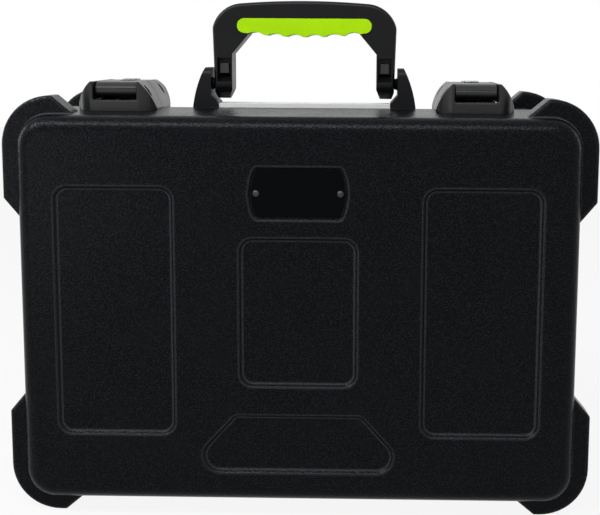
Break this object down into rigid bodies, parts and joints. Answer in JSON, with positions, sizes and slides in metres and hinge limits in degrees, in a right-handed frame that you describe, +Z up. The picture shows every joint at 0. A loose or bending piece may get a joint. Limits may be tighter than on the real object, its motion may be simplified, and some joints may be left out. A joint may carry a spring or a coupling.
{
  "type": "microphone case",
  "caption": "Hard moulded carrying case with foam wells for microphones, draw latches, a hinged lid and a fold-down handle.",
  "frame": {"origin": "middle of the footprint on the ground, the case standing on its hinge side", "axes": "+Z up towards the handle, +Y from the lid's face to the base's back, +X along the width"},
  "size_m": [0.465, 0.2, 0.412],
  "materials": {
    "shell": "moulded polyethylene with a fine pebble grain",
    "valance": "black anodised extrusion",
    "foam": "charcoal polyether foam, cut faces",
    "lid_foam": "charcoal convoluted foam",
    "strip": "satin aluminium",
    "zinc_steel": "zinc plated steel",
    "bracket": "moulded nylon, fine spark texture",
    "steel_pin": "turned steel",
    "handle": "moulded nylon, satin",
    "grip": "soft lime elastomer",
    "insert": "moulded nylon",
    "latch": "moulded nylon, satin",
    "lever": "moulded nylon, satin",
    "hook": "moulded nylon, satin",
    "lock": "nickel plated zinc",
    "rivet": "black painted steel",
    "hinge": "black painted steel",
    "name_plate": "bare moulded plate, satin"
  },
  "bodies": {
    "base": {"base_shell": "shell", "base_valance": "valance", "foam_pad": "foam", "drop_foam_1": "foam", "drop_foam_2": "foam", "drop_foam_3": "foam", "accessory_foam": "foam", "handle_strip": "strip", "handle_backing_plate": "zinc_steel", "bracket_screws": "zinc_steel", "handle_bracket_left": "bracket", "handle_bracket_right": "bracket", "handle_pin_left": "steel_pin", "handle_pin_right": "steel_pin", "latch_housing_left": "latch", "latch_housing_right": "latch", "latch_housing_rivets": "rivet", "lever_pins_left": "steel_pin", "lever_pins_right": "steel_pin", "hinge_base_leaf_left": "hinge", "hinge_base_leaf_right": "hinge", "hinge_base_rivets": "rivet", "hinge_pin_left": "steel_pin", "hinge_pin_right": "steel_pin"},
    "lid": {"lid_shell": "shell", "lid_valance": "valance", "lid_foam": "lid_foam", "name_plate": "name_plate", "name_plate_rivets": "rivet", "keeper_housing_left": "latch", "keeper_housing_right": "latch", "keeper_housing_rivets": "rivet", "keeper_bar_left": "steel_pin", "keeper_bar_right": "steel_pin", "hinge_lid_leaf_left": "hinge", "hinge_lid_leaf_right": "hinge", "hinge_lid_rivets": "rivet"},
    "handle": {"handle_frame": "handle", "handle_grip": "grip", "handle_inserts": "insert"},
    "lever_left": {"latch_lever_left": "lever", "hook_pin_left": "steel_pin"},
    "hook_left": {"latch_hook_left": "hook"},
    "lock_left": {"lock_cylinder_left": "lock"},
    "lever_right": {"latch_lever_right": "lever", "hook_pin_right": "steel_pin"},
    "hook_right": {"latch_hook_right": "hook"},
    "lock_right": {"lock_cylinder_right": "lock"}
  },
  "joints": [
    {"name": "lid_hinge", "type": "hinge", "parent": "base", "child": "lid", "pos_m": [0, -0.03, 0.0065], "axis": [1, 0, 0], "range_deg": [0, 105]},
    {"name": "handle_pivot", "type": "hinge", "parent": "base", "child": "handle", "pos_m": [0, -0.012, 0.344], "axis": [-1, 0, 0], "range_deg": [0, 90]},
    {"name": "latch_left_lever", "type": "hinge", "parent": "base", "child": "lever_left", "pos_m": [-0.1489, -0.021, 0.334], "axis": [1, 0, 0], "range_deg": [0, 75]},
    {"name": "latch_left_hook", "type": "hinge", "parent": "lever_left", "child": "hook_left", "pos_m": [-0.1489, -0.0105, 0.333], "axis": [-1, 0, 0], "range_deg": [0, 75]},
    {"name": "lock_left_key", "type": "hinge", "parent": "lever_left", "child": "lock_left", "pos_m": [-0.1489, 0.0001, 0.341], "axis": [0, 0, 1], "range_deg": [0, 90]},
    {"name": "latch_right_lever", "type": "hinge", "parent": "base", "child": "lever_right", "pos_m": [0.1391, -0.021, 0.334], "axis": [1, 0, 0], "range_deg": [0, 75]},
    {"name": "latch_right_hook", "type": "hinge", "parent": "lever_right", "child": "hook_right", "pos_m": [0.1391, -0.0105, 0.333], "axis": [-1, 0, 0], "range_deg": [0, 75]},
    {"name": "lock_right_key", "type": "hinge", "parent": "lever_right", "child": "lock_right", "pos_m": [0.1391, 0.0001, 0.341], "axis": [0, 0, 1], "range_deg": [0, 90]}
  ],
  "couplings": [
    {"joint": "latch_left_hook", "follows": "latch_left_lever", "ratio": 1},
    {"joint": "latch_right_hook", "follows": "latch_right_lever", "ratio": 1}
  ]
}
